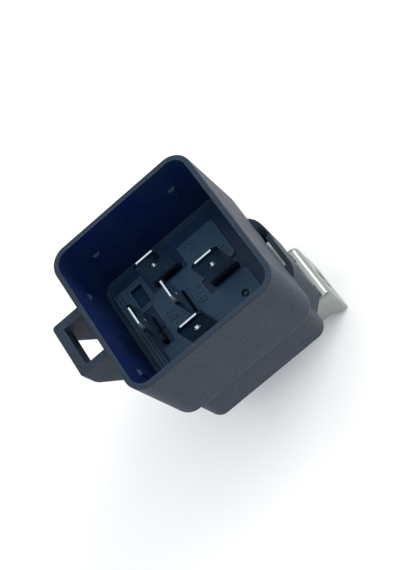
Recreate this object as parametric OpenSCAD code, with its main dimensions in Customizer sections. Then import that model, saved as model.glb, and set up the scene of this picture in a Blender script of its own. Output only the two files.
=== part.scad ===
// Plug-in changeover relay with a sealing skirt, a latch loop and a steel mounting bracket.
// +Z points out of the connector mouth along the blades, +X points to the bracket, and the
// origin is the centre of the terminal face, the outer face of the base plate.

/* [Skirt] */
// Step from the body out to the skirt along X
skirt_out_x = 2; // [1.5:0.1:4]
// Step from the body out to the skirt along Y
skirt_out_y = 2.4; // [1.5:0.1:4]
// Wall of the skirt
skirt_wall = 1.1; // [0.9:0.05:1.3]
// Corner radius of the skirt
skirt_r = 4.1; // [3:0.1:5]
// Height of the rim above the terminal face
skirt_h = 18.7; // [15:0.1:24]
// Rounding of the rim's outer edge
rim_round = 0.3; // [0.1:0.05:0.4]

/* [Body] */
// Width of the body along X
body_w = 30; // [29.2:0.1:38]
// Length of the body along Y
body_l = 30.4; // [29.6:0.1:38]
// Wall of the body
body_wall = 1.3; // [1:0.05:1.5]
// Corner radius of the body
body_r = 2.8; // [2:0.1:3.5]
// Distance from the terminal face to the closed end
body_h = 19.5; // [18.9:0.1:26]
// Rounding of the edge round the closed end
end_round = 1.1; // [0.5:0.1:1.8]

/* [Detent bumps] */
// Distance of each bump from the middle of its wall
bump_pos = 9.9; // [8.5:0.1:11]
// Width of a bump
bump_w = 1.7; // [1:0.1:2]
// Height of a bump
bump_h = 3; // [2:0.1:4]
// Depth of a bump
bump_t = 0.5; // [0.2:0.05:0.6]
// Height of the middle of a bump above the terminal face
bump_z = 9.4; // [8:0.1:12]

/* [Latch loop] */
// Width of the loop along Y
loop_w = 12.6; // [11:0.1:14]
// Reach of the loop beyond the skirt
loop_reach = 6.9; // [6.2:0.1:9]
// Width of the loop's outer bar
loop_bar = 1.9; // [1.5:0.1:2.3]
// Width of each side arm of the loop
loop_arm = 1.8; // [1.4:0.1:2.2]
// Height of the outer bar
loop_bar_h = 4.3; // [3:0.1:6]
// Distance of the loop's face below the rim
loop_drop = 2; // [1:0.1:3]
// Height of the web's foot on the skirt above the step under the skirt
loop_web_rise = 0.6; // [0:0.1:3]

/* [Bracket pocket] */
// Width of the pocket's outer face along Y
pocket_w = 13.9; // [12.5:0.1:15]
// Outer wall of the pocket at its top
pocket_wall = 1.1; // [0.9:0.05:1.4]
// Draft of the outer face from the top to the closed end
pocket_draft = 0.6; // [0.2:0.05:0.6]
// Wall between the body and the slot
pocket_pad = 1.1; // [0.6:0.05:1.4]
// Wall at each side of the pocket's slot
pocket_side = 1.4; // [0.8:0.1:2]
// Rounding of the pocket's outer corners
pocket_r = 5; // [1:0.1:6]
// Clearance between the tongue and the pocket's outer wall
pocket_gap = 0.1; // [0.05:0.05:0.4]
// Depth of the notch in the outer wall's top
notch_h = 4.5; // [2:0.1:6]
// Length of the window in the outer wall
window_h = 5.5; // [3:0.1:7]
// Gap between the step under the skirt and the pocket
pocket_drop = 1.1; // [0.3:0.1:1.6]

/* [Base plate] */
// Thickness of the flange that rests on the ledge
flange_t = 1.6; // [1.2:0.1:2]
// Depth of the plug below the flange
plug_t = 1.4; // [1:0.1:2]
// Width of ledge covered by the flange
flange_lip = 0.65; // [0.4:0.05:0.9]
// Clearance between the plug and the body
plug_gap = 0.1; // [0.05:0.01:0.2]
// Depth of the sunk areas of the terminal face
relief_t = 0.45; // [0.2:0.05:0.6]
// Depth of the recess round each blade
recess_t = 1.2; // [0.7:0.05:1.4]

/* [Terminals] */
// Width of a blade
blade_w = 6.3; // [5.8:0.1:6.4]
// Thickness of a blade
blade_t = 0.8; // [0.6:0.05:1]
// Height of a blade above the terminal face
blade_h = 11.3; // [9:0.1:13.5]
// Chamfer at the corners of a blade's tip
tip_chamfer = 1.15; // [0.6:0.05:1.5]
// Length of the coined bevel at a blade's tip
tip_bevel = 1; // [0.6:0.1:1.5]
// Diameter of the hole in a blade
blade_hole_d = 1.6; // [1.2:0.1:1.9]
// Distance from a blade's tip to the middle of its hole
blade_hole_drop = 3.9; // [3.3:0.1:4.5]
// Distance between the two coil blades
coil_pitch = 16.8; // [15.6:0.1:18]
// Place of the coil blades and the centre blade along X
centre_x = -2.3; // [-2.6:0.1:-2]
// Distance from the centre blade to the normally open blade
open_pitch = 8.1; // [7.6:0.1:8.8]
// Distance from the centre blade to the common blade
common_pitch = 9.4; // [9:0.1:9.8]
// Clearance round a blade in its slot
slot_gap = 0.04; // [0.02:0.01:0.1]

/* [Mounting bracket] */
// Thickness of the steel sheet
sheet_t = 1.2; // [1:0.1:1.4]
// Width of the tab
tab_w = 14; // [12:0.1:17]
// Length of the tab from the step to its end
tab_len = 13.2; // [11.5:0.1:17]
// Distance from the closed end to the bracket's step
step_drop = 3.5; // [2.5:0.1:5]
// Flat between the two bends of the step
step_flat = 0.15; // [0.1:0.05:2]
// Diameter of the mounting hole
mount_hole_d = 5.5; // [4.3:0.1:6]
// Distance from the tab's end to the middle of the hole
mount_hole_up = 5.4; // [4.5:0.1:6.5]
// Depth of the turned edges
edge_depth = 6.1; // [5:0.1:7.5]
// Length of the turned edges
edge_len = 9.6; // [8:0.1:10.5]
// Place of the notch in the turned edges, inward from the tab's face
edge_notch = 3.65; // [3:0.05:4.2]
// Rounding of the fold along the turned edges
edge_r = 0.8; // [0.4:0.1:1.1]
// Corner radius at the tab's end
tab_r = 1; // [0.5:0.1:3]
// Width of the tongue that slides into the pocket
tongue_w = 7; // [6:0.1:9]
// Length of the tongue inside the pocket
tongue_len = 12.2; // [9:0.1:13]
// Corner radius at the tongue's top
tongue_r = 0.3; // [0.2:0.1:2]
// Width of the slit on each side of the tongue's bend
slit_w = 0.5; // [0.3:0.1:1]
// Bending radius on the inside of the tongue's bend
foot_r = 0.4; // [0.3:0.1:1]
// Bending radius on the inside of the bend at the step's edge
bend_r = 0.6; // [0.5:0.1:1.2]

/* [Magnet] */
// Diameter of the core
core_d = 6; // [5:0.1:7]
// Diameter of the pole face
pole_d = 8.4; // [7.5:0.1:9.5]
// Thickness of the pole face
pole_t = 0.7; // [0.5:0.1:1]
// Diameter of the coil winding
coil_d = 13; // [11.5:0.1:13.6]
// Diameter of the bobbin's flanges
bobbin_d = 14.4; // [13:0.1:14.6]
// Thickness of the bobbin's flanges and barrel
bobbin_t = 0.75; // [0.6:0.05:1]
// Thickness of the yoke
yoke_t = 1.3; // [1:0.1:1.5]
// Width of the yoke
yoke_w = 13; // [11:0.1:14]
// Height of the yoke's back above its foot
yoke_h = 10.4; // [9.6:0.1:11]
// Place of the core along X
core_x = 2.6; // [2.2:0.1:3]
// Clearance between the coil and the yoke's back
yoke_gap = 0.5; // [0.3:0.1:0.8]

/* [Contacts] */
// Thickness of the armature
armature_t = 1.1; // [0.9:0.05:1.3]
// Width of the armature
armature_w = 11; // [9:0.1:12]
// Air gap left under the closed armature
stop_gap = 0.05; // [0.03:0.01:0.1]
// Thickness of the contact spring
spring_t = 0.25; // [0.2:0.01:0.3]
// Width of the contact spring's arm
spring_arm_w = 4.2; // [3.4:0.1:5]
// Angle that the armature opens by
open_angle = 2.4; // [1.8:0.1:2.7]
// Clearance left between closed contacts
contact_gap = 0.04; // [0.02:0.01:0.08]
// Diameter of the contact rivets
contact_d = 3; // [2.6:0.1:3.4]
// Height of a contact head
contact_t = 0.5; // [0.4:0.05:0.8]
// Thickness of the inner strips that carry the fixed contacts
strip_t = 0.8; // [0.6:0.05:0.9]

/* [Hidden] */
$fn = 48;
// Clearance between parts that fit inside one another
fit = 0.02;

// Skirt and body
skirt_w = body_w + 2 * skirt_out_x;
skirt_l = body_l + 2 * skirt_out_y;
skirt_foot = flange_t + skirt_wall;
rim_x = skirt_w / 2;
rim_y = skirt_l / 2;
inside_x = body_w / 2 - body_wall;
inside_y = body_l / 2 - body_wall;
inner = -(flange_t + plug_t);
inner_end = -(body_h - body_wall);

// Latch loop, with its face under the rim
loop_x = rim_x + loop_reach;
loop_top = skirt_h - loop_drop;
loop_foot = -skirt_foot + loop_web_rise;

// Bracket pocket and bracket, outward from the body's wall
wall_x = body_w / 2;
tongue_x = wall_x + pocket_pad;
slot_x = tongue_x + sheet_t + pocket_gap;
pocket_x = slot_x + pocket_wall;
pocket_top = -skirt_foot - pocket_drop;
step_x = tongue_x + sheet_t + foot_r;
step_z = -(body_h + step_drop);
turn_x = step_x + step_flat;
tab_x = turn_x + bend_r + sheet_t;
turn_z = step_z - sheet_t - bend_r;
tab_z = step_z - tab_len;
edge_x = tab_x - edge_depth;

// Terminals along X
open_x = centre_x - open_pitch;
common_x = centre_x + common_pitch;
coil_y = coil_pitch / 2;

// Magnet, measured away from the terminals from the plate's inner face
foot_z = inner - yoke_t;
floor_z = foot_z - bobbin_t;
back_z = inner - yoke_h;
pole_z = back_z + pole_t;
ceiling_z = pole_z + bobbin_t;
back_x = core_x + bobbin_d / 2 + yoke_gap;
pivot_x = back_x + yoke_t;
yoke_x0 = core_x - 3.8;

// Contacts with the armature closed
armature_z = back_z - stop_gap;
spring_z = armature_z - armature_t;
moving_x = centre_x - 5.9;
head_z = spring_z - spring_t;
head_t = 0.4;
no_z = spring_z + 0.8 + contact_gap;
arm_z = no_z + head_t * 2;
lift = (pivot_x - moving_x + contact_d / 2) * sin(open_angle);
nc_z = head_z - head_t - lift - contact_gap;
nc_arm_z = nc_z - contact_t;
shank_d = 1.6;
rivet_d = 1.4;
rivet_x = core_x + 6;

cover();
base_plate();
terminal_30();
terminal_85();
terminal_86();
terminal_87();
terminal_87a();
mounting_bracket();
yoke();
core();
bobbin();
coil_winding();
resistor();
armature();
contact_spring();
armature_rivets();
moving_contact();
fixed_contact_no();
fixed_contact_nc();
vent_plug();

// A block from one corner to the opposite one
module block(a, b) {
  translate(a)
    cube([b[0] - a[0], b[1] - a[1], b[2] - a[2]]);
}

// A block centred on the axis with rounded upright corners
module slab(w, l, h, r) {
  linear_extrude(height = h) {
    square([w - 2 * r, l], center = true);
    square([w, l - 2 * r], center = true);
    for (x = [-1, 1], y = [-1, 1])
      translate([x * (w / 2 - r), y * (l / 2 - r)])
        circle(r);
  }
}

// Section of a block's edge strip, with its top edge rounded
module edge_section(r, h, e) {
  square([r, h - e]);
  square([r - e, h]);
  translate([r - e, h - e])
    circle(e);
}

// A block like slab(), with the edge round its top rounded too
module soft_block(w, l, h, r, e) {
  translate([-(w / 2 - r), -(l / 2 - r), 0])
    cube([w - 2 * r, l - 2 * r, h]);
  for (turn = [0, 180])
    rotate([0, 0, turn]) {
      translate([w / 2 - r, l / 2 - r, 0])
        rotate([90, 0, 0])
          linear_extrude(height = l - 2 * r)
            edge_section(r, h, e);
      translate([-(w / 2 - r), l / 2 - r, 0])
        rotate([90, 0, 90])
          linear_extrude(height = w - 2 * r)
            edge_section(r, h, e);
      translate([w / 2 - r, l / 2 - r, 0])
        rotate_extrude(angle = 90)
          edge_section(r, h, e);
      translate([-(w / 2 - r), l / 2 - r, 0])
        rotate([0, 0, 90])
          rotate_extrude(angle = 90)
            edge_section(r, h, e);
    }
}

// A section drawn in X and Z, extruded over a width centred on Y
module side_view(w) {
  rotate([90, 0, 0])
    translate([0, 0, -w / 2])
      linear_extrude(height = w)
        children();
}

// Moulded loop on the skirt that snaps over a socket's catch
module latch_loop() {
  difference() {
    intersection() {
      side_view(loop_w)
        polygon([[-rim_x + 0.3, loop_top], [-loop_x, loop_top], [-loop_x, loop_top - loop_bar_h],
          [-rim_x, loop_foot], [-rim_x + 0.3, loop_foot]]);
      translate([0, 0, loop_foot])
        slab(2 * loop_x, loop_w, loop_top - loop_foot, 0.8);
    }
    block([-loop_x + loop_bar, -loop_w / 2 + loop_arm, loop_foot - 1],
      [-rim_x, loop_w / 2 - loop_arm, loop_top + 1]);
    block([-loop_x - 1, -loop_w / 2 + loop_arm, loop_foot - 1],
      [-rim_x, loop_w / 2 - loop_arm, loop_top - loop_bar_h]);
  }
}

// What is cut off outside a rounded corner at p, between its edges towards a and b
module corner_waste(p, a, b, r) {
  u = (a - p) / norm(a - p);
  v = (b - p) / norm(b - p);
  half = acos(u * v) / 2;
  m = (u + v) / norm(u + v);
  c = p + m * r / sin(half);
  out_u = (p + u * r / tan(half) - c) / r;
  out_v = (p + v * r / tan(half) - c) / r;
  difference() {
    polygon([c, c + out_u * (r + 1), p - m / sin(half), c + out_v * (r + 1)]);
    translate(c)
      circle(r);
  }
}

// Moulded pocket on the body that takes the bracket's tongue
module bracket_pocket() {
  reach = pocket_x - wall_x;
  y = pocket_w / 2;
  slot_y = y - pocket_side;
  difference() {
    translate([0, 0, -body_h])
      linear_extrude(height = body_h + pocket_top)
        difference() {
          polygon([[wall_x - 0.3, y + reach], [wall_x, y + reach], [pocket_x, y], [pocket_x, -y],
            [wall_x, -y - reach], [wall_x - 0.3, -y - reach]]);
          for (s = [-1, 1])
            corner_waste([pocket_x, s * y], [pocket_x, 0], [wall_x, s * (y + reach)], pocket_r);
        }
    // Draft of the outer face
    side_view(2 * pocket_w)
      polygon([[pocket_x, pocket_top], [pocket_x - pocket_draft, -body_h],
        [pocket_x - pocket_draft, -body_h - 1], [pocket_x + 1, -body_h - 1], [pocket_x + 1, pocket_top]]);
    block([tongue_x, -slot_y, -body_h - 1], [slot_x, slot_y, pocket_top + 1]);
    // Notch in the outer wall's top, and the window beside it
    block([slot_x - 1, 2.4, pocket_top - notch_h], [pocket_x + 1, slot_y, pocket_top + 1]);
    block([slot_x - 1, -slot_y, pocket_top - 2 - window_h], [pocket_x + 1, -slot_y + 1.7, pocket_top - 2]);
  }
}

// A bump on a wall that faces +X, with sloping flanks
module detent_bump() {
  slope = bump_t * 0.7;
  intersection() {
    translate([0, 0, -bump_h / 2])
      linear_extrude(height = bump_h)
        polygon([[-0.3, -bump_w / 2], [0, -bump_w / 2], [bump_t, -bump_w / 2 + slope],
          [bump_t, bump_w / 2 - slope], [0, bump_w / 2], [-0.3, bump_w / 2]]);
    side_view(bump_w)
      polygon([[-0.3, -bump_h / 2], [0, -bump_h / 2], [bump_t, -bump_h / 2 + slope],
        [bump_t, bump_h / 2 - slope], [0, bump_h / 2], [-0.3, bump_h / 2]]);
  }
}

module cover() {
  color("#24272b") {
    difference() {
      union() {
        translate([0, 0, -skirt_foot])
          soft_block(skirt_w, skirt_l, skirt_h + skirt_foot, skirt_r, rim_round);
        rotate([180, 0, 0])
          soft_block(body_w, body_l, body_h, body_r, end_round);
        latch_loop();
        bracket_pocket();
      }
      translate([0, 0, -flange_t])
        slab(skirt_w - 2 * skirt_wall, skirt_l - 2 * skirt_wall, skirt_h + flange_t + 1,
          skirt_r - skirt_wall);
      translate([0, 0, inner_end])
        slab(2 * inside_x, 2 * inside_y, body_h, body_r - body_wall);
    }
    // Detent bumps, two on each inner wall of the skirt
    for (turn = [0, 180], t = [-1, 1])
      rotate([0, 0, turn]) {
        translate([-(rim_x - skirt_wall), t * bump_pos, bump_z])
          detent_bump();
        translate([t * bump_pos, -(rim_y - skirt_wall), bump_z])
          rotate([0, 0, 90])
            detent_bump();
      }
  }
}

// Slot through the base plate for a blade that stands across Y, with a recess round its mouth
module blade_slot() {
  translate([0, 0, inner - 1])
    slab(blade_w + 2 * slot_gap, blade_t + 2 * slot_gap, -inner + 2, 0.01);
  translate([0, 0, -recess_t])
    slab(blade_w + 0.8, blade_t + 0.8, recess_t + 1, 0.6);
}

// Sunk area of the terminal face, from one corner to the opposite one
module sunk(a, b) {
  block([a[0], a[1], -relief_t], [b[0], b[1], 1]);
}

module base_plate() {
  edge_w = inside_x + flange_lip + 1;
  edge_l = inside_y + flange_lip + 1;
  r = 1;
  color("#30343a")
  difference() {
    union() {
      translate([0, 0, -flange_t])
        slab(2 * (inside_x + flange_lip), 2 * (inside_y + flange_lip), flange_t, body_r - body_wall);
      translate([0, 0, inner])
        slab(2 * (inside_x - plug_gap), 2 * (inside_y - plug_gap), plug_t + 0.5, body_r - body_wall);
    }
    // Sunk areas round the coil blade and along the +Y edge
    sunk([-7.1, 6.95], [2.1, edge_l]);
    sunk([1, 11.75], [edge_w, edge_l]);
    sunk([-edge_w, 12.3], [-6, edge_l]);
    // Sunk areas along the +X edge and round the common blade
    translate([0, 0, -relief_t])
      linear_extrude(height = 2) {
        translate([11.45, -edge_l])
          square([edge_w - 11.45, 2 * edge_l]);
        translate([2.4, -1.5])
          square([edge_w - 2.4, 3.7]);
        // Rounded outer corners of the fields on both sides of it
        for (y = [-1.5, 2.2])
          corner_waste([11.45, y], [5, y], [11.45, y < 0 ? -9 : 9], r);
      }
    // Sunk areas round the normally open blade and along the -X edge
    translate([0, 0, -relief_t])
      linear_extrude(height = 2) {
        difference() {
          translate([-12.6, -4.1])
            square([4, 9.4]);
          corner_waste([-8.6, -4.1], [-10, -4.1], [-8.6, 0], 0.6);
        }
        translate([-12.6, -edge_l])
          square([0.8, edge_l + 5.3]);
      }
    // Thin grooves along the -X edge
    for (x = [-13.9, -13.1])
      sunk([x, -12.6], [x + 0.25, 12.6]);
    // Frame and deep pocket left by the mould's core
    translate([0, 0, -0.25])
      difference() {
        block([-11.8, 5.9, 0], [-7.4, 12, 1]);
        block([-11.5, 6.1, -1], [-7.7, 11.7, 2]);
      }
    block([-10.9, 6.3, -1.5], [-8.1, 11.05, 1]);
    // Groove beside the centre blade and a square left by an ejector
    block([-0.95, 0.5, -0.25], [-0.75, 6.95, 1]);
    difference() {
      block([0.2, -7.1, -0.15], [2.3, -5.8, 1]);
      block([0.35, -6.95, -1], [2.15, -5.95, 2]);
    }
    for (y = [-coil_y, coil_y])
      translate([centre_x, y, 0])
        blade_slot();
    translate([common_x, 0, 0])
      blade_slot();
    for (x = [centre_x, open_x])
      translate([x, 0, 0])
        rotate([0, 0, 90])
          blade_slot();
    // Small blind hole beside the normally open blade
    translate([-9.4, -0.2, -1.3])
      cylinder(h = 2, d = 0.8);
    // Vent
    translate([8.1, -6.05, -0.8])
      cylinder(h = 2, d = 1.7);
    translate([8.1, -6.05, inner - 1])
      cylinder(h = 4, d = 0.64);
  }
}

// Blade across Y, from a depth below the terminal face up to its tip
module blade(below) {
  w = blade_w / 2;
  t = blade_t / 2;
  difference() {
    intersection() {
      side_view(blade_t)
        polygon([[-w, -below], [w, -below], [w, blade_h - tip_chamfer], [w - tip_chamfer, blade_h],
          [-w + tip_chamfer, blade_h], [-w, blade_h - tip_chamfer]]);
      rotate([0, 0, 90])
        side_view(blade_w)
          polygon([[-t, -below], [t, -below], [t, blade_h - tip_bevel], [t / 2, blade_h],
            [-t / 2, blade_h], [-t, blade_h - tip_bevel]]);
    }
    translate([0, 0, blade_h - blade_hole_drop])
      rotate([90, 0, 0])
        cylinder(h = 2 * blade_t, d = blade_hole_d, center = true);
  }
}

module terminal_30() {
  color("#c9c7bd") {
    translate([common_x, 0, 0])
      blade(-inner);
    // Tail through the yoke's foot
    block([common_x - 0.8, -blade_t / 2, foot_z], [common_x + blade_w / 2 - 0.05, blade_t / 2, inner + 0.1]);
  }
}

// Coil terminal on the +Y side: a blade, its shoulders and a tail
module coil_terminal() {
  translate([centre_x, coil_y, 0])
    blade(-inner);
  translate([centre_x, coil_y, 0]) {
    block([-blade_w / 2 - 0.5, -blade_t / 2, inner - 0.9], [blade_w / 2 + 0.5, blade_t / 2, inner]);
    block([-2.9, -blade_t / 2, inner - 4.2], [-0.7, blade_t / 2, inner - 0.5]);
  }
}

module terminal_85() {
  color("#c9c7bd")
    coil_terminal();
}

module terminal_86() {
  color("#c9c7bd")
    mirror([0, 1, 0])
      coil_terminal();
}

module terminal_87() {
  w = blade_w / 2;
  t = blade_t / 2;
  color("#c9c7bd")
    difference() {
      union() {
        translate([open_x, 0, 0])
          rotate([0, 0, 90])
            blade(-inner);
        // Shoulders, post and the arm that carries the fixed contact
        block([open_x - t, -w - 0.5, inner - 0.9], [open_x + t, w + 0.5, inner]);
        block([open_x - t, -w, arm_z], [open_x + t, w, inner]);
        block([open_x - t, -w, arm_z], [moving_x + contact_d / 2 + 0.1, w, arm_z + strip_t]);
      }
      translate([moving_x, 0, arm_z - 1])
        cylinder(h = 3, d = shank_d);
    }
}

module terminal_87a() {
  w = blade_w / 2;
  post_x = moving_x + 2.3;
  color("#c9c7bd")
    difference() {
      union() {
        translate([centre_x, 0, 0])
          rotate([0, 0, 90])
            blade(-inner);
        // Foot under the plate, post beside the armature and arm over the moving contact
        block([post_x, -w, inner - strip_t], [centre_x + blade_t / 2, w, inner]);
        block([post_x, w - 0.5, inner - strip_t], [post_x + 1.6, 6.2, inner]);
        block([post_x, 2.8, nc_arm_z - strip_t], [post_x + strip_t, 6.2, inner]);
        block([moving_x - 2, -1.8, nc_arm_z - strip_t], [post_x + strip_t, 6.2, nc_arm_z]);
      }
      translate([moving_x, 0, nc_arm_z - 2])
        cylinder(h = 3, d = shank_d);
    }
}

// Quarter of a bend in sheet, with its inside radius r, turned by an angle
module quarter_bend(r, t, turn) {
  rotate(turn)
    intersection() {
      difference() {
        circle(r + t);
        circle(r);
      }
      square(r + t + 1);
    }
}

// Rounding of the folds along the turned edges, for a section measured from the bend's axis
module edge_waste() {
  face = bend_r + sheet_t;
  for (s = [-1, 1])
    corner_waste([face, s * tab_w / 2], [0, s * tab_w / 2], [face, 0], edge_r);
}

module mounting_bracket() {
  inside = tab_w / 2 - sheet_t;
  notch = [tab_x - edge_notch, step_z - edge_len + 0.7];
  edge_end = [tab_x - 0.85, tab_z];
  edge_corner = [edge_x, step_z - edge_len];
  color("#b9bdbf") {
    difference() {
      // Step, tab and turned edges, folded from one sheet
      side_view(tab_w)
        difference() {
          union() {
            translate([edge_x, tab_z])
              square([turn_x - edge_x, step_z - tab_z]);
            translate([edge_x, tab_z])
              square([tab_x - edge_x, turn_z - tab_z]);
            translate([turn_x, turn_z])
              circle(bend_r + sheet_t);
          }
          // Lower outline of the turned edges, with a round notch
          difference() {
            polygon([notch, edge_end, edge_end - [0, 1], [edge_x - 1, tab_z - 1],
              edge_corner - [1, 0.28], edge_corner]);
            corner_waste(notch, edge_end, edge_corner, 0.9);
          }
        }
      // Hollow behind the tab
      side_view(2 * inside) {
        translate([edge_x - 1, tab_z - 1])
          square([turn_x - edge_x + 1, step_z - sheet_t - tab_z + 1]);
        translate([edge_x - 1, tab_z - 1])
          square([tab_x - sheet_t - edge_x + 1, turn_z - tab_z + 1]);
        translate([turn_x, turn_z])
          circle(bend_r);
      }
      block([edge_x - 1, -inside, step_z - sheet_t - 1], [tongue_x, inside, step_z + 1]);
      // Place of the tongue's bend, with a slit on each side
      block([edge_x - 1, -tongue_w / 2 - slit_w, step_z - sheet_t - 1],
        [step_x, tongue_w / 2 + slit_w, step_z + 1]);
      // Rounded folds along the tab, round the bend and along the step
      translate([turn_x, 0, tab_z - 1])
        linear_extrude(height = turn_z - tab_z + 1)
          edge_waste();
      translate([turn_x, 0, turn_z])
        rotate([90, 0, 0])
          rotate_extrude(angle = 90)
            edge_waste();
      translate([turn_x, 0, turn_z])
        rotate([0, -90, 0])
          linear_extrude(height = turn_x - edge_x + 1)
            edge_waste();
      // Rounded corners at the tab's end
      translate([turn_x, 0, 0])
        rotate([90, 0, 90])
          linear_extrude(height = tab_x - turn_x + 1)
            for (s = [-1, 1])
              corner_waste([s * tab_w / 2, tab_z], [0, tab_z], [s * tab_w / 2, step_z], tab_r);
      // Mounting hole
      translate([tab_x - sheet_t - 1, 0, tab_z + mount_hole_up])
        rotate([0, 90, 0])
          cylinder(h = sheet_t + 2, d = mount_hole_d);
    }
    // Tongue and its bend
    difference() {
      side_view(tongue_w) {
        translate([tongue_x, step_z + foot_r])
          square([sheet_t, step_drop - foot_r + tongue_len]);
        translate([step_x, step_z + foot_r])
          quarter_bend(foot_r, sheet_t, 180);
        translate([step_x, step_z - sheet_t])
          square([step_flat, sheet_t]);
      }
      translate([tongue_x - 1, 0, 0])
        rotate([90, 0, 90])
          linear_extrude(height = sheet_t + 2)
            for (s = [-1, 1])
              corner_waste([s * tongue_w / 2, tongue_len - body_h], [0, tongue_len - body_h],
                [s * tongue_w / 2, -body_h], tongue_r);
    }
  }
}

module yoke() {
  y = yoke_w / 2;
  color("#9da1a3")
    difference() {
      union() {
        block([yoke_x0, -y, foot_z], [pivot_x, y, inner]);
        block([back_x, -y, back_z], [pivot_x, y, inner]);
      }
      translate([core_x, 0, foot_z - 1])
        cylinder(h = yoke_t + 2, d = core_d - 2);
      // Slot for the common terminal's tail
      block([common_x - 0.85, -blade_t / 2 - 0.05, foot_z - 1],
        [common_x + blade_w / 2, blade_t / 2 + 0.05, inner + 1]);
    }
}

module core() {
  color("#a7abad")
    translate([core_x, 0, 0]) {
      translate([0, 0, foot_z - 0.1])
        cylinder(h = yoke_t + 0.1, d = core_d - 2 - 2 * fit);
      translate([0, 0, pole_z - 0.1])
        cylinder(h = foot_z - pole_z + 0.1, d = core_d);
      translate([0, 0, back_z])
        cylinder(h = pole_t, d = pole_d);
    }
}

module bobbin() {
  bore = core_d + 2 * fit;
  color("#d8d4c6")
    translate([core_x, 0, 0])
      difference() {
        union() {
          translate([0, 0, floor_z])
            cylinder(h = bobbin_t, d = bobbin_d);
          translate([0, 0, pole_z])
            cylinder(h = foot_z - pole_z, d = bore + 2 * bobbin_t);
          translate([0, 0, pole_z])
            cylinder(h = bobbin_t, d = bobbin_d);
        }
        translate([0, 0, back_z])
          cylinder(h = yoke_h, d = bore);
      }
}

// A straight round wire from one point to another
module rod(p, q, d) {
  v = q - p;
  translate(p)
    rotate([0, acos(v[2] / norm(v)), atan2(v[1], v[0])])
      cylinder(h = norm(v), d = d);
}

module coil_winding() {
  tail_x = centre_x - 1.8;
  color("#a5562c") {
    translate([core_x, 0, ceiling_z])
      difference() {
        cylinder(h = floor_z - ceiling_z, d = coil_d);
        translate([0, 0, -1])
          cylinder(h = floor_z - ceiling_z + 2, d = core_d + 2 * bobbin_t + 4 * fit);
      }
    // Wire ends, wrapped round the coil terminals' tails
    for (s = [-1, 1]) {
      rod([core_x + coil_d / 2 * cos(125) * 0.97, s * coil_d / 2 * sin(125) * 0.97, floor_z - 0.7],
        [tail_x + 1.27, s * coil_y, inner - 3.4], 0.35);
      for (i = [0:2])
        translate([tail_x, s * coil_y, inner - 3.5 - 0.35 * i])
          difference() {
            slab(2.9, blade_t + 0.7, 0.35, 0.3);
            translate([0, 0, -1])
              slab(2.2, blade_t, 3, 0.01);
          }
    }
  }
}

module resistor() {
  x = moving_x - 0.1;
  z = inner - 2.8;
  color("#c8b083") {
    translate([x, 0, z])
      rotate([90, 0, 0])
        cylinder(h = blade_w, d = 2.3, center = true);
    for (s = [-1, 1]) {
      rod([x, s * (blade_w / 2 - 0.2), z], [x, s * coil_y, z], 0.5);
      translate([x, s * coil_y, z])
        sphere(d = 0.5);
      rod([x, s * coil_y, z], [centre_x - 2.9, s * coil_y, z], 0.5);
    }
  }
}

// Everything on the armature, turned open about the top edge of the yoke
module opened() {
  translate([pivot_x, 0, back_z])
    rotate([0, -open_angle, 0])
      translate([-pivot_x, 0, -back_z])
        children();
}

module armature() {
  color("#9da1a3")
    opened()
      difference() {
        block([core_x - 6, -armature_w / 2, spring_z], [pivot_x - 0.35, armature_w / 2, armature_z]);
        for (y = [-2.6, 2.6])
          translate([rivet_x, y, spring_z - 1])
            cylinder(h = armature_t + 2, d = rivet_d + 2 * fit);
      }
}

module contact_spring() {
  bend = 0.3;
  // Middle of the bend that joins the leaf to the tail on the yoke's back
  bend_x = pivot_x + 0.03 - bend;
  from_x = (bend_x - pivot_x - (back_z - spring_z - bend) * sin(open_angle)) / cos(open_angle);
  bend_z = back_z + from_x * sin(open_angle) - (back_z - spring_z - bend) * cos(open_angle);
  color("#c98d5b") {
    opened()
      difference() {
        union() {
          block([core_x - 6, -4, head_z], [pivot_x + from_x + 0.03, 4, spring_z]);
          block([moving_x - 1.8, -spring_arm_w / 2, head_z], [core_x, spring_arm_w / 2, spring_z]);
        }
        for (y = [-2.6, 2.6])
          translate([rivet_x, y, head_z - 1])
            cylinder(h = 3, d = rivet_d + 2 * fit);
        translate([moving_x, 0, head_z - 1])
          cylinder(h = 3, d = shank_d);
      }
    translate([bend_x, -4, bend_z])
      rotate([-90, 0, 0])
        rotate_extrude(angle = 90 - open_angle)
          translate([bend, 0])
            square([spring_t, 8]);
    block([bend_x + bend, -4, bend_z], [bend_x + bend + spring_t, 4, inner - 3]);
  }
}

module armature_rivets() {
  color("#b08a4a")
    opened()
      for (y = [-2.6, 2.6])
        translate([rivet_x, y, 0]) {
          translate([0, 0, head_z])
            cylinder(h = armature_z - head_z, d = rivet_d);
          translate([0, 0, head_z - 0.4])
            cylinder(h = 0.4, d = 2.4);
        }
}

module moving_contact() {
  color("#d5d7d8")
    opened()
      translate([moving_x, 0, 0]) {
        translate([0, 0, spring_z])
          cylinder(h = 0.8, d = contact_d);
        translate([0, 0, head_z - head_t])
          cylinder(h = head_t, d = contact_d - 0.2);
        translate([0, 0, head_z])
          cylinder(h = spring_t, d = shank_d - 2 * fit);
      }
}

module fixed_contact_no() {
  color("#d5d7d8")
    translate([moving_x, 0, 0]) {
      translate([0, 0, no_z])
        cylinder(h = arm_z - no_z, d = contact_d + 0.2);
      translate([0, 0, arm_z])
        cylinder(h = strip_t, d = shank_d - 2 * fit);
    }
}

module fixed_contact_nc() {
  color("#d5d7d8")
    translate([moving_x, 0, 0]) {
      translate([0, 0, nc_arm_z])
        cylinder(h = contact_t, d = contact_d + 0.2);
      translate([0, 0, nc_arm_z - strip_t])
        cylinder(h = strip_t, d = shank_d - 2 * fit);
    }
}

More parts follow.
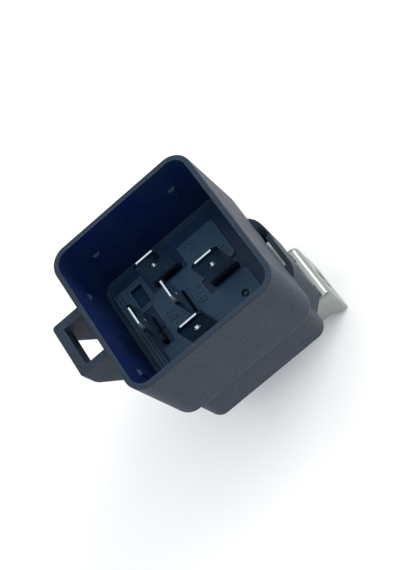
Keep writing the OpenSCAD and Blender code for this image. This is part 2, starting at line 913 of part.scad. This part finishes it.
module vent_plug() {
  color("#5a5f66")
    translate([8.1, -6.05, 0]) {
      translate([0, 0, -0.8])
        cylinder(h = 0.35, d = 0.95);
      translate([0, 0, -0.45])
        sphere(d = 0.9);
      translate([0, 0, inner + 0.4])
        cylinder(h = -inner - 1.2, d = 0.6);
    }
}
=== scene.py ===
import math

import bpy
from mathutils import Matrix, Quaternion, Vector


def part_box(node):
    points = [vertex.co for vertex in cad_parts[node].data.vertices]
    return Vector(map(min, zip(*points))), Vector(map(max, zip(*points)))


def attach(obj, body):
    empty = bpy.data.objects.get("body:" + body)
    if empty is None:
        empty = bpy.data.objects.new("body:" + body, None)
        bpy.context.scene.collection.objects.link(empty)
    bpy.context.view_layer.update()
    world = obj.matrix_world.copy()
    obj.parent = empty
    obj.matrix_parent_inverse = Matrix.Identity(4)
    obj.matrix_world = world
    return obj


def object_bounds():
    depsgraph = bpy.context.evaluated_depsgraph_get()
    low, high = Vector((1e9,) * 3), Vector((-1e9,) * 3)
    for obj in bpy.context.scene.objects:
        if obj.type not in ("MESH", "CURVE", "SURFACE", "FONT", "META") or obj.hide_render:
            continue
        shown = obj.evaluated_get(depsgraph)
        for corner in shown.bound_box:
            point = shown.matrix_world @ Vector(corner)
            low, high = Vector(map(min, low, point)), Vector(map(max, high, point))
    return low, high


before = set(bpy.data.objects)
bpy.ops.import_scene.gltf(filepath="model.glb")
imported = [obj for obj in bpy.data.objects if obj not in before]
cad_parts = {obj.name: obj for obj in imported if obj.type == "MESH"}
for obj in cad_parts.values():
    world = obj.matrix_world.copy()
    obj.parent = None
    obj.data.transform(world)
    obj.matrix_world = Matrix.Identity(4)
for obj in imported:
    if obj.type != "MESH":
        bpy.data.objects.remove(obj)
cad_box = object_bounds()
MM = 0.001

# ---------------------------------------------------------------------------------------
# Cover. One black glass-filled nylon moulding holds the sealing skirt, the body, the latch
# loop and the bracket's pocket. The mould was spark eroded, so the outer faces have a fine
# even grain, and the part is only pushed on to its socket, so it wears at the edges.


def linear(code):
    """Linear RGBA of an sRGB hex colour."""
    parts = [int(code[i : i + 2], 16) / 255 for i in (0, 2, 4)]
    return [p / 12.92 if p <= 0.04045 else ((p + 0.055) / 1.055) ** 2.4 for p in parts] + [1.0]


def add(tree, kind, links=None, **settings):
    """Add a node with its settings, and link or set its inputs. A node links its first output."""
    node = tree.nodes.new(kind)
    for name, value in settings.items():
        setattr(node, name, value)
    for socket, value in (links or {}).items():
        if isinstance(value, bpy.types.Node):
            value = value.outputs[0]
        if isinstance(value, bpy.types.NodeSocket):
            tree.links.new(value, node.inputs[socket])
        else:
            node.inputs[socket].default_value = value
    return node


def new_finish(name):
    """An empty material, its node tree, and each point's own place on the piece."""
    finish = bpy.data.materials.new(name)
    finish.use_nodes = True
    tree = finish.node_tree
    tree.nodes.clear()
    return finish, tree, add(tree, "ShaderNodeTexCoord").outputs["Object"]


def coat(finish, *pieces):
    """Give CAD nodes a finish."""
    for piece in pieces:
        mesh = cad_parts[piece].data
        mesh.materials.clear()
        mesh.materials.append(finish)


def wear_and_highlight_edge(tree, radius):
    """How near a sharp edge the surface is, from 0 on a face to 1 on the edge itself."""
    on_edge = 0.65  # how well the flat and the rounded normals still agree there
    flat = add(tree, "ShaderNodeNewGeometry").outputs["Normal"]
    rounded = add(tree, "ShaderNodeBevel", {"Radius": radius}, samples=6)
    agree = add(tree, "ShaderNodeVectorMath", {0: flat, 1: rounded}, operation="DOT_PRODUCT")
    return add(
        tree,
        "ShaderNodeMapRange",
        {"Value": agree.outputs["Value"], "From Min": 1.0, "From Max": on_edge},
    )


nylon, tree, place = new_finish("Spark-eroded black nylon")
where = add(tree, "ShaderNodeSeparateXYZ", {"Vector": place})
height = where.outputs["Z"]
# Pits of the spark-eroded mould are really 0.05 mm across, and are drawn coarser so that they show
pit = 0.3 * MM
grain = add(
    tree,
    "ShaderNodeTexNoise",
    {"Vector": place, "Scale": 1 / pit, "Detail": 2.0, "Roughness": 0.7},
)
# Glass fibres and the flow of the melt cloud the colour
melt_flow = 6 * MM
cloud = add(
    tree,
    "ShaderNodeTexNoise",
    {"Vector": place, "Scale": 1 / melt_flow, "Detail": 5.0, "Roughness": 0.6},
)
tone = add(tree, "ShaderNodeValToRGB", {"Fac": cloud})
tone.color_ramp.elements[0].position = 0.35
tone.color_ramp.elements[0].color = linear("121f2d")
tone.color_ramp.elements[1].position = 0.68
tone.color_ramp.elements[1].color = linear("19293a")
# Fibre ends catch light as pale specks between the pits
fleck = add(
    tree,
    "ShaderNodeMapRange",
    {"Value": grain, "From Min": 0.46, "From Max": 0.72, "To Max": 0.5},
)
speckled = add(tree, "ShaderNodeMixRGB", {"Fac": fleck, "Color1": tone, "Color2": linear("3a4c60")})
# The rim is the mould's parting face and has no specks
rim_depth = 0.15 * MM
rim = add(
    tree, "ShaderNodeMath", {0: height, 1: cad_box[1][2] - rim_depth}, operation="GREATER_THAN"
)
smooth_rim = add(
    tree, "ShaderNodeMixRGB", {"Fac": rim, "Color1": speckled, "Color2": linear("1c2b3c")}
)

# Inside the skirt the walls are painted deep blue-black, a painted shade of the deep hollow. The
# mask is 1 above a level just under the ledge that the base plate rests on, and within a
# rounded rectangle just past the skirt's inner faces.
under_ledge = -1.7 * MM
corner_r = 3 * MM
plate_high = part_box("base_plate")[1]
skirt_half = {"X": plate_high[0] + 1.6 * MM, "Y": plate_high[1] + 2.0 * MM}
from_corner = add(tree, "ShaderNodeCombineXYZ")
for axis, half in skirt_half.items():
    reach = add(tree, "ShaderNodeMath", {0: where.outputs[axis]}, operation="ABSOLUTE")
    past = add(tree, "ShaderNodeMath", {0: reach, 1: half - corner_r}, operation="SUBTRACT")
    beyond = add(tree, "ShaderNodeMath", {0: past, 1: 0.0}, operation="MAXIMUM")
    tree.links.new(beyond.outputs["Value"], from_corner.inputs[axis])
out = add(tree, "ShaderNodeVectorMath", {0: from_corner}, operation="LENGTH").outputs["Value"]
within = add(tree, "ShaderNodeMath", {0: out, 1: corner_r}, operation="LESS_THAN")
above = add(tree, "ShaderNodeMath", {0: height, 1: under_ledge}, operation="GREATER_THAN")
shaded_inside = add(tree, "ShaderNodeMath", {0: within, 1: above}, operation="MULTIPLY")
# The painted shade on the walls is greener in random patches
shade_patches = add(
    tree,
    "ShaderNodeMapRange",
    {"Value": cloud, "From Min": 0.36, "From Max": 0.56, "To Max": 0.5},
)
shaded_wall_tone = add(
    tree,
    "ShaderNodeMixRGB",
    {"Fac": shade_patches, "Color1": linear("021850"), "Color2": linear("0a2a46")},
)
# Faces there that look out of the mouth, the ledge and the bumps' tops, are painted lighter and
# greener, as painted light falling in through the mouth
normal = add(tree, "ShaderNodeNewGeometry").outputs["Normal"]
facing_out = add(tree, "ShaderNodeSeparateXYZ", {"Vector": normal}).outputs["Z"]
lit_from_mouth = add(
    tree, "ShaderNodeMapRange", {"Value": facing_out, "From Min": 0.05, "From Max": 0.3}
)
shade_and_light_tone = add(
    tree,
    "ShaderNodeMixRGB",
    {"Fac": lit_from_mouth, "Color1": shaded_wall_tone, "Color2": linear("0a2a42")},
)
# The skirt's inside takes the painted shade
shade_lined = add(tree, "ShaderNodeMixRGB", {"Fac": shaded_inside, "Color1": smooth_rim, "Color2": shade_and_light_tone})

# Rubbed edges are greyer and a little smoother, in patches
rub_radius = 0.3 * MM
rub_patch = 1.4 * MM
edge = wear_and_highlight_edge(tree, rub_radius)
patches = add(tree, "ShaderNodeTexNoise", {"Vector": place, "Scale": 1 / rub_patch, "Detail": 3.0})
rub = add(tree, "ShaderNodeMath", {0: edge, 1: patches}, operation="MULTIPLY")
body_tone = add(tree, "ShaderNodeMixRGB", {"Fac": rub, "Color1": shade_lined, "Color2": linear("505c68")})
# Dust is a scatter of pale dots about 0.15 mm wide
dust_apart = 1.0 * MM
dust_cell = add(tree, "ShaderNodeTexVoronoi", {"Vector": place, "Scale": 1 / dust_apart})
dust = add(
    tree,
    "ShaderNodeMapRange",
    {"Value": dust_cell, "From Min": 0.09, "From Max": 0.05, "To Max": 0.5},
)
dusted = add(
    tree, "ShaderNodeMixRGB", {"Fac": dust, "Color1": body_tone, "Color2": linear("8a8d92")}
)
gloss = add(
    tree,
    "ShaderNodeMapRange",
    {"Value": cloud, "From Min": 0.3, "From Max": 0.7, "To Min": 0.5, "To Max": 0.62},
)
polish = add(tree, "ShaderNodeMath", {0: gloss, 1: rub}, operation="SUBTRACT", use_clamp=True)
rounded = add(tree, "ShaderNodeBevel", {"Radius": 0.2 * MM}, samples=6)
relief = add(
    tree,
    "ShaderNodeBump",
    {"Height": grain, "Strength": 0.8, "Distance": 0.05 * MM, "Normal": rounded},
)
skin = add(
    tree,
    "ShaderNodeBsdfPrincipled",
    {
        "Base Color": dusted,
        "Roughness": polish,
        "Normal": relief,
        "IOR": 1.53,
        "Specular IOR Level": 0.25,
    },
)
add(tree, "ShaderNodeOutputMaterial", {"Surface": skin})
coat(nylon, "cover")

# ---------------------------------------------------------------------------------------
# Base plate. A smoother blue-black nylon moulding that carries the blades, with sunk areas,
# core pockets and the standard terminal numbers raised on its face. It is set into the cover.
plate, tree, place = new_finish("Moulded blue-black nylon")
# Wipe marks of the mould's face, drawn out along X
wipe_mark = 0.5 * MM
stretch = add(tree, "ShaderNodeMapping", {"Vector": place, "Scale": (0.35, 1.0, 1.0)})
wipe = add(
    tree,
    "ShaderNodeTexNoise",
    {"Vector": stretch, "Scale": 1 / wipe_mark, "Detail": 4.0, "Roughness": 0.65},
)
# The flow of the melt clouds the colour
melt_flow = 5 * MM
cloud = add(
    tree,
    "ShaderNodeTexNoise",
    {"Vector": place, "Scale": 1 / melt_flow, "Detail": 4.0, "Roughness": 0.6},
)
tone = add(tree, "ShaderNodeValToRGB", {"Fac": cloud})
tone.color_ramp.elements[0].position = 0.35
tone.color_ramp.elements[0].color = linear("07213a")
tone.color_ramp.elements[1].position = 0.7
tone.color_ramp.elements[1].color = linear("0c2a48")
# The sunk areas are painted darker than the land as painted shade, and the land is scuffed paler in
# patches
sunk_z = -0.4 * MM
land_z = -0.1 * MM
height = add(tree, "ShaderNodeSeparateXYZ", {"Vector": place}).outputs["Z"]
unshaded_land = add(
    tree,
    "ShaderNodeMapRange",
    {"Value": height, "From Min": sunk_z, "From Max": land_z},
)
scuff = add(
    tree,
    "ShaderNodeMapRange",
    {"Value": wipe, "From Min": 0.3, "From Max": 0.7, "To Min": 0.6, "To Max": 1.0},
)
shade_and_scuff = add(tree, "ShaderNodeMath", {0: unshaded_land, 1: scuff}, operation="MULTIPLY")
shaded_and_scuffed = add(tree, "ShaderNodeMixRGB", {"Fac": shade_and_scuff, "Color1": tone, "Color2": linear("2b455c")})
# Its edges, and the numbers' edges, are painted paler still, a painted highlight
edge = wear_and_highlight_edge(tree, 0.25 * MM)
half_edge_highlight = add(tree, "ShaderNodeMath", {0: edge, 1: 0.5}, operation="MULTIPLY")
highlight_edged = add(
    tree,
    "ShaderNodeMixRGB",
    {"Fac": half_edge_highlight, "Color1": shaded_and_scuffed, "Color2": linear("5a7387")},
)
gloss = add(
    tree,
    "ShaderNodeMapRange",
    {"Value": wipe, "From Min": 0.3, "From Max": 0.7, "To Min": 0.34, "To Max": 0.5},
)
rounded = add(tree, "ShaderNodeBevel", {"Radius": 0.12 * MM}, samples=6)
relief = add(
    tree,
    "ShaderNodeBump",
    {"Height": wipe, "Strength": 0.35, "Distance": 0.03 * MM, "Normal": rounded},
)
skin = add(
    tree,
    "ShaderNodeBsdfPrincipled",
    {
        "Base Color": highlight_edged,
        "Roughness": gloss,
        "Normal": relief,
        "IOR": 1.53,
        "Specular IOR Level": 0.14,
    },
)
add(tree, "ShaderNodeOutputMaterial", {"Surface": skin})
coat(plate, "base_plate")

# Raised numbers stand beside their blades and read along +Y, each from the foot of its first
# figure. Figures are about 0.7 of the built-in face's size, so these are 2 mm high.
letter_size = 2.835 * MM
letter_rise = 0.18 * MM
letter_edge = 0.03 * MM
plate_top = plate_high[2]
coil_blade_x = sum(corner[0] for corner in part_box("terminal_85")) / 2
number_starts = {
    "85": (coil_blade_x + 7.7 * MM, 8.6 * MM),
    "86": (coil_blade_x + 7.7 * MM, -10.7 * MM),
    "30": (10.4 * MM, 3.5 * MM),
    "87a": (1.7 * MM, -1.6 * MM),
    "87": (-5.5 * MM, -0.5 * MM),
}
for label, (x, y) in number_starts.items():
    letters = bpy.data.curves.new("number_" + label, "FONT")
    letters.body = label
    letters.size = letter_size
    letters.extrude = letter_rise
    letters.bevel_depth = letter_edge
    letters.bevel_resolution = 1
    letters.space_character = 1.05
    drawn = bpy.data.objects.new("number_curve_" + label, letters)
    bpy.context.collection.objects.link(drawn)
    drawn.location = (x, y, plate_top)
    drawn.rotation_euler = (0, 0, math.pi / 2)
    bpy.context.view_layer.update()
    in_scene = drawn.evaluated_get(bpy.context.evaluated_depsgraph_get())
    solid = bpy.data.meshes.new_from_object(in_scene)
    solid.transform(drawn.matrix_world)
    bpy.data.objects.remove(drawn)
    solid.materials.clear()
    solid.materials.append(plate)
    number = bpy.data.objects.new("number_" + label, solid)
    bpy.context.collection.objects.link(number)
    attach(number, "housing")

# ---------------------------------------------------------------------------------------
# Vent plug. A sintered grey plastic pin in the vent lets the case breathe.
sinter, tree, place = new_finish("Sintered grey polyethylene")
# Beads are fused at their necks
bead_d = 0.14 * MM
bead = add(tree, "ShaderNodeTexVoronoi", {"Vector": place, "Scale": 1 / bead_d})
# The colour runs darker towards the gaps between beads, a painted shade in the pores
tone = add(tree, "ShaderNodeValToRGB", {"Fac": bead})
tone.color_ramp.elements[0].color = linear("43546a")
tone.color_ramp.elements[1].color = linear("182638")
relief = add(
    tree,
    "ShaderNodeBump",
    {"Height": bead, "Strength": 0.8, "Distance": 0.04 * MM},
    invert=True,
)
skin = add(
    tree,
    "ShaderNodeBsdfPrincipled",
    {"Base Color": tone, "Roughness": 0.6, "Normal": relief, "IOR": 1.51},
)
add(tree, "ShaderNodeOutputMaterial", {"Surface": skin})
coat(sinter, "vent_plug")

# ---------------------------------------------------------------------------------------
# Terminals. Five blades are stamped from brass strip, coined at the tip and tin plated. Their feet
# are painted dark, a painted shade and painted reflection of the dark plate round them.
tin, tree, place = new_finish("Bright tin plate on brass")
# Rolling lines of the strip run up the blade, really 0.02 mm apart and drawn coarser to show
line_apart = 0.25 * MM
up_blade = add(tree, "ShaderNodeMapping", {"Vector": place, "Scale": (1.0, 1.0, 0.05)})
lines = add(
    tree, "ShaderNodeTexNoise", {"Vector": up_blade, "Scale": 1 / line_apart, "Detail": 2.0}
)
# Reflowed tin has soft patches
tin_patch = 1.5 * MM
patch = add(
    tree,
    "ShaderNodeTexNoise",
    {"Vector": place, "Scale": 1 / tin_patch, "Detail": 3.0, "Roughness": 0.55},
)
tone = add(tree, "ShaderNodeValToRGB", {"Fac": patch})
tone.color_ramp.elements[0].position = 0.35
tone.color_ramp.elements[0].color = linear("96a1a9")
tone.color_ramp.elements[1].position = 0.65
tone.color_ramp.elements[1].color = linear("a5afb6")
# The painted shade at the feet starts within the plate's slot and fades out about 2 mm above the
# plate's face, with a ragged top.
foot_shade_low = -1.3 * MM
foot_shade_full = 0.6 * MM
foot_shade_none = 2.6 * MM
foot_shade_ragged = 0.8 * MM
height = add(tree, "ShaderNodeSeparateXYZ", {"Vector": place}).outputs["Z"]
ragged = add(tree, "ShaderNodeMath", {0: patch, 1: foot_shade_ragged}, operation="MULTIPLY")
level = add(tree, "ShaderNodeMath", {0: height, 1: ragged}, operation="ADD")
foot_shade_rise = add(
    tree,
    "ShaderNodeMapRange",
    {"Value": level, "From Min": foot_shade_none, "From Max": foot_shade_full, "To Max": 0.9},
    interpolation_type="SMOOTHSTEP",
)
outside = add(tree, "ShaderNodeMath", {0: height, 1: foot_shade_low}, operation="GREATER_THAN")
foot_shade = add(tree, "ShaderNodeMath", {0: foot_shade_rise, 1: outside}, operation="MULTIPLY")
foot_shaded = add(tree, "ShaderNodeMixRGB", {"Fac": foot_shade, "Color1": tone, "Color2": linear("2a4064")})
sheen = add(
    tree,
    "ShaderNodeMapRange",
    {"Value": lines, "From Min": 0.3, "From Max": 0.7, "To Min": 0.14, "To Max": 0.2},
)
# Where the feet are painted dark the surface is rougher too
foot_shade_dulled = add(tree, "ShaderNodeMath", {0: foot_shade, 1: 0.2, 2: sheen}, operation="MULTIPLY_ADD")
rounded = add(tree, "ShaderNodeBevel", {"Radius": 0.12 * MM}, samples=6)
relief = add(
    tree,
    "ShaderNodeBump",
    {"Height": lines, "Strength": 0.06, "Distance": 0.01 * MM, "Normal": rounded},
)
skin = add(
    tree,
    "ShaderNodeBsdfPrincipled",
    {"Base Color": foot_shaded, "Metallic": 1.0, "Roughness": foot_shade_dulled, "Normal": relief},
)
add(tree, "ShaderNodeOutputMaterial", {"Surface": skin})
coat(tin, "terminal_30", "terminal_85", "terminal_86", "terminal_87", "terminal_87a")

# ---------------------------------------------------------------------------------------
# Mounting bracket. It is blanked and folded from 1.2 mm mild steel, bright zinc plated, and
# its tongue is pressed into the cover's pocket. One screw through it holds the relay.
zinc, tree, place = new_finish("Bright zinc plate on steel")
# Mill lines of the cold rolled sheet run along the folds, drawn coarse enough to show
mill_apart = 0.4 * MM
along_fold = add(tree, "ShaderNodeMapping", {"Vector": place, "Scale": (1.0, 0.05, 1.0)})
mill = add(
    tree, "ShaderNodeTexNoise", {"Vector": along_fold, "Scale": 1 / mill_apart, "Detail": 2.0}
)
# Plating clouds shift the zinc between two close greys
plating_cloud = 3 * MM
cloud = add(
    tree,
    "ShaderNodeTexNoise",
    {"Vector": place, "Scale": 1 / plating_cloud, "Detail": 4.0, "Roughness": 0.55},
)
tone = add(tree, "ShaderNodeValToRGB", {"Fac": cloud})
tone.color_ramp.elements[0].position = 0.32
tone.color_ramp.elements[0].color = linear("8b9290")
tone.color_ramp.elements[1].position = 0.7
tone.color_ramp.elements[1].color = linear("949a97")
# Edges are painted a little brighter, a painted highlight
edge = wear_and_highlight_edge(tree, 0.25 * MM)
edge_highlight = add(tree, "ShaderNodeMath", {0: edge, 1: 0.2}, operation="MULTIPLY")
highlight_edged = add(tree, "ShaderNodeMixRGB", {"Fac": edge_highlight, "Color1": tone, "Color2": linear("d4d8d3")})
# The tongue's top is painted bright, a painted highlight, and is made a little rougher
tongue_low = -14 * MM
tongue_high = -12 * MM
height = add(tree, "ShaderNodeSeparateXYZ", {"Vector": place}).outputs["Z"]
tongue_highlight = add(
    tree,
    "ShaderNodeMapRange",
    {"Value": height, "From Min": tongue_low, "From Max": tongue_high},
)
tongue_lit = add(
    tree, "ShaderNodeMixRGB", {"Fac": tongue_highlight, "Color1": highlight_edged, "Color2": linear("eef0ee")}
)
# Handling scuffs are dull marks about 0.4 mm wide and 2 mm long, slanted over the sheet
scuff_w = 0.4 * MM
slant = add(
    tree,
    "ShaderNodeMapping",
    {"Vector": place, "Rotation": (0.4, 0.7, 0.3), "Scale": (1.0, 0.2, 1.0)},
)
scuff = add(tree, "ShaderNodeTexNoise", {"Vector": slant, "Scale": 1 / scuff_w, "Detail": 2.0})
dull = add(
    tree,
    "ShaderNodeMapRange",
    {"Value": scuff, "From Min": 0.6, "From Max": 0.75, "To Max": 0.12},
)
sheen = add(
    tree,
    "ShaderNodeMapRange",
    {"Value": cloud, "From Min": 0.3, "From Max": 0.7, "To Min": 0.25, "To Max": 0.3},
)
handled = add(tree, "ShaderNodeMath", {0: sheen, 1: dull}, operation="ADD")
roughness = add(tree, "ShaderNodeMath", {0: tongue_highlight, 1: 0.1, 2: handled}, operation="MULTIPLY_ADD")
rounded = add(tree, "ShaderNodeBevel", {"Radius": 0.35 * MM}, samples=8)
relief = add(
    tree,
    "ShaderNodeBump",
    {"Height": mill, "Strength": 0.04, "Distance": 0.02 * MM, "Normal": rounded},
)
skin = add(
    tree,
    "ShaderNodeBsdfPrincipled",
    {"Base Color": tongue_lit, "Metallic": 1.0, "Roughness": roughness, "Normal": relief},
)
add(tree, "ShaderNodeOutputMaterial", {"Surface": skin})
coat(zinc, "mounting_bracket")

# ---------------------------------------------------------------------------------------
# Yoke, core and armature. These soft iron parts carry the coil's field. They are blanked or
# turned, annealed and nickel plated; the core is riveted into the yoke.
nickel, tree, place = new_finish("Nickel plate on soft iron")
# Annealed grain shows through the plate as soft spangles
spangle_w = 0.6 * MM
spangle = add(tree, "ShaderNodeTexVoronoi", {"Vector": place, "Scale": 1 / spangle_w})
tint = add(tree, "ShaderNodeSeparateColor", {"Color": spangle.outputs["Color"]})
tone = add(tree, "ShaderNodeValToRGB", {"Fac": tint.outputs["Red"]})
tone.color_ramp.elements[0].color = linear("b2afa7")
tone.color_ramp.elements[1].color = linear("bfbcb3")
sheen = add(
    tree,
    "ShaderNodeMapRange",
    {"Value": tint.outputs["Green"], "To Min": 0.3, "To Max": 0.36},
)
rounded = add(tree, "ShaderNodeBevel", {"Radius": 0.1 * MM}, samples=4)
skin = add(
    tree,
    "ShaderNodeBsdfPrincipled",
    {"Base Color": tone, "Metallic": 1.0, "Roughness": sheen, "Normal": rounded},
)
add(tree, "ShaderNodeOutputMaterial", {"Surface": skin})
coat(nickel, "yoke", "core", "armature")

# ---------------------------------------------------------------------------------------
# Bobbin. A natural nylon spool, moulded in one piece, keeps the winding off the core.
natural, tree, place = new_finish("Natural moulded nylon")
# Natural nylon is milky, with faint clouds of the melt's flow
melt_flow = 2 * MM
flow = add(tree, "ShaderNodeTexNoise", {"Vector": place, "Scale": 1 / melt_flow, "Detail": 3.0})
tone = add(tree, "ShaderNodeValToRGB", {"Fac": flow})
tone.color_ramp.elements[0].color = linear("d2cbb4")
tone.color_ramp.elements[1].color = linear("e6e1d0")
gloss = add(tree, "ShaderNodeMapRange", {"Value": flow, "To Min": 0.35, "To Max": 0.55})
skin = add(
    tree,
    "ShaderNodeBsdfPrincipled",
    {
        "Base Color": tone,
        "Roughness": gloss,
        "IOR": 1.53,
        "Subsurface Weight": 0.15,
        "Subsurface Scale": 0.5 * MM,
    },
)
add(tree, "ShaderNodeOutputMaterial", {"Surface": skin})
coat(natural, "bobbin")

# ---------------------------------------------------------------------------------------
# Coil winding. Enamelled copper wire is wound on the bobbin in even layers, and its two ends
# are wrapped round the coil terminals' tails.
enamel, tree, place = new_finish("Enamelled copper wire")
# Turns lie side by side up the axis, really 0.1 mm apart and drawn coarser so that they show.
# At a scale of 1 the wave turns 20 radians in a unit of length.
turn_apart = 0.2 * MM
turns = add(
    tree,
    "ShaderNodeTexWave",
    {"Vector": place, "Scale": 2 * math.pi / (20 * turn_apart), "Distortion": 0.4, "Detail": 1.0},
    wave_type="BANDS",
    bands_direction="Z",
).outputs["Fac"]
# The colour runs darker between turns and paler on their crowns, a painted shade and painted
# highlight of the round wire
tone = add(tree, "ShaderNodeValToRGB", {"Fac": turns})
tone.color_ramp.elements[0].color = linear("5e2410")
tone.color_ramp.elements[1].color = linear("b5632f")
relief = add(tree, "ShaderNodeBump", {"Height": turns, "Strength": 0.7, "Distance": 0.05 * MM})
skin = add(
    tree,
    "ShaderNodeBsdfPrincipled",
    {
        "Base Color": tone,
        "Metallic": 0.85,
        "Roughness": 0.3,
        "Coat Weight": 0.6,
        "Coat Roughness": 0.15,
        "Normal": relief,
    },
)
add(tree, "ShaderNodeOutputMaterial", {"Surface": skin})
coat(enamel, "coil_winding")

# ---------------------------------------------------------------------------------------
# Resistor. A lacquered ceramic rod across the coil damps the spike when it is switched off.
lacquer, tree, place = new_finish("Lacquered ceramic")
# The dipped lacquer is uneven
lacquer_wave = 0.8 * MM
dip = add(tree, "ShaderNodeTexNoise", {"Vector": place, "Scale": 1 / lacquer_wave, "Detail": 2.0})
tone = add(tree, "ShaderNodeValToRGB", {"Fac": dip})
tone.color_ramp.elements[0].color = linear("b5996a")
tone.color_ramp.elements[1].color = linear("cdb489")
relief = add(tree, "ShaderNodeBump", {"Height": dip, "Strength": 0.4, "Distance": 0.05 * MM})
skin = add(
    tree,
    "ShaderNodeBsdfPrincipled",
    {"Base Color": tone, "Roughness": 0.3, "IOR": 1.5, "Normal": relief},
)
add(tree, "ShaderNodeOutputMaterial", {"Surface": skin})
coat(lacquer, "resistor")

# ---------------------------------------------------------------------------------------
# Contact spring. A leaf of rolled copper alloy hinges the armature, pulls it open and carries
# the moving contact on its free arm.
bronze, tree, place = new_finish("Rolled copper alloy")
# Rolling lines run along the leaf, drawn coarse enough to show
line_apart = 0.1 * MM
along_leaf = add(tree, "ShaderNodeMapping", {"Vector": place, "Scale": (0.05, 1.0, 1.0)})
rolled = add(
    tree, "ShaderNodeTexNoise", {"Vector": along_leaf, "Scale": 1 / line_apart, "Detail": 2.0}
)
tone = add(tree, "ShaderNodeValToRGB", {"Fac": rolled})
tone.color_ramp.elements[0].color = linear("b97b52")
tone.color_ramp.elements[1].color = linear("d69a6e")
sheen = add(tree, "ShaderNodeMapRange", {"Value": rolled, "To Min": 0.2, "To Max": 0.38})
skin = add(
    tree,
    "ShaderNodeBsdfPrincipled",
    {"Base Color": tone, "Metallic": 1.0, "Roughness": sheen},
)
add(tree, "ShaderNodeOutputMaterial", {"Surface": skin})
coat(bronze, "contact_spring")

# ---------------------------------------------------------------------------------------
# Armature rivets. Two plain brass rivets hold the spring to the armature.
brass, tree, place = new_finish("Headed brass")
# Heading leaves faint pressed marks
press_mark = 0.3 * MM
press = add(tree, "ShaderNodeTexNoise", {"Vector": place, "Scale": 1 / press_mark, "Detail": 2.0})
tone = add(tree, "ShaderNodeValToRGB", {"Fac": press})
tone.color_ramp.elements[0].color = linear("a8863f")
tone.color_ramp.elements[1].color = linear("cba95e")
relief = add(tree, "ShaderNodeBump", {"Height": press, "Strength": 0.3, "Distance": 0.02 * MM})
skin = add(
    tree,
    "ShaderNodeBsdfPrincipled",
    {"Base Color": tone, "Metallic": 1.0, "Roughness": 0.28, "Normal": relief},
)
add(tree, "ShaderNodeOutputMaterial", {"Surface": skin})
coat(brass, "armature_rivets")

# ---------------------------------------------------------------------------------------
# Contacts. Silver alloy rivets, one moving and two fixed, are headed into their carriers and
# worn to a satin where they meet.
silver, tree, place = new_finish("Silver contact alloy")
# Arc marks mottle the faces
arc_mark = 0.4 * MM
arc = add(tree, "ShaderNodeTexNoise", {"Vector": place, "Scale": 1 / arc_mark, "Detail": 3.0})
tone = add(tree, "ShaderNodeValToRGB", {"Fac": arc})
tone.color_ramp.elements[0].color = linear("b4b3ae")
tone.color_ramp.elements[1].color = linear("e0dfda")
sheen = add(tree, "ShaderNodeMapRange", {"Value": arc, "To Min": 0.2, "To Max": 0.5})
skin = add(
    tree,
    "ShaderNodeBsdfPrincipled",
    {"Base Color": tone, "Metallic": 1.0, "Roughness": sheen},
)
add(tree, "ShaderNodeOutputMaterial", {"Surface": skin})
coat(silver, "moving_contact", "fixed_contact_no", "fixed_contact_nc")

# ---------------------------------------------------------------------------------------
# Floor. A white sheet of matt paper lies just under the lowest edge of the bracket.
floor_half = 2.0
floor_gap = 0.1 * MM
floor_z = cad_box[0][2] - floor_gap
corner_signs = [(-1, -1), (1, -1), (1, 1), (-1, 1)]
floor_mesh = bpy.data.meshes.new("floor")
floor_mesh.from_pydata(
    [(x * floor_half, y * floor_half, floor_z) for x, y in corner_signs], [], [(0, 1, 2, 3)]
)
floor = bpy.data.objects.new("floor", floor_mesh)
bpy.context.collection.objects.link(floor)
paper, tree, place = new_finish("Matt white paper")
# Paper fibres keep the sheet from being perfectly even
fibre_l = 0.4 * MM
fibre = add(tree, "ShaderNodeTexNoise", {"Vector": place, "Scale": 1 / fibre_l, "Detail": 2.0})
tone = add(tree, "ShaderNodeValToRGB", {"Fac": fibre})
tone.color_ramp.elements[0].color = linear("fafafa")
tone.color_ramp.elements[1].color = linear("fdfdfd")
skin = add(
    tree,
    "ShaderNodeBsdfPrincipled",
    {"Base Color": tone, "Roughness": 0.95, "Specular IOR Level": 0.1},
)
add(tree, "ShaderNodeOutputMaterial", {"Surface": skin})
floor_mesh.materials.append(paper)

# ---------------------------------------------------------------------------------------
# Light. A white tent gives even light. A wide softbox hangs over the relay, and a small one
# stands on the bracket's side.
tent = bpy.data.worlds.new("white tent")
bpy.context.scene.world = tent
tent.use_nodes = True
sky = tent.node_tree.nodes["Background"]
sky.inputs["Color"].default_value = linear("f2f7ff")
sky.inputs["Strength"].default_value = 0.68
bpy.context.scene.view_settings.view_transform = "Standard"


def softbox(name, position, side, watts, colour):
    """A square lamp that faces the frame's origin."""
    light = bpy.data.lights.new(name, "AREA")
    light.shape = "SQUARE"
    light.size = side
    light.energy = watts
    light.color = linear(colour)[:3]
    lamp = bpy.data.objects.new(name, light)
    bpy.context.collection.objects.link(lamp)
    lamp.location = position
    lamp.rotation_mode = "QUATERNION"
    lamp.rotation_quaternion = (-Vector(position)).to_track_quat("-Z", "Y")


softbox("overhead_softbox", (0.05, -0.02, 0.5), side=0.7, watts=2.1, colour="fffdf8")
softbox("side_softbox", (0.4, 0.15, 0.2), side=0.25, watts=0.9, colour="fffaf2")

# ---------------------------------------------------------------------------------------
# Camera. It looks down into the mouth from the near edge, with the bracket to the right.
view = bpy.data.cameras.new("camera")
view.sensor_width = 36
view.lens = 77.24
view.clip_start = 0.01
camera = bpy.data.objects.new("camera", view)
bpy.context.collection.objects.link(camera)
camera.location = (0.036051, -0.113336, 0.211573)
camera.rotation_mode = "QUATERNION"
camera.rotation_quaternion = Quaternion((0.9136415, 0.2073581, 0.1490481, -0.3163012))
bpy.context.scene.camera = camera
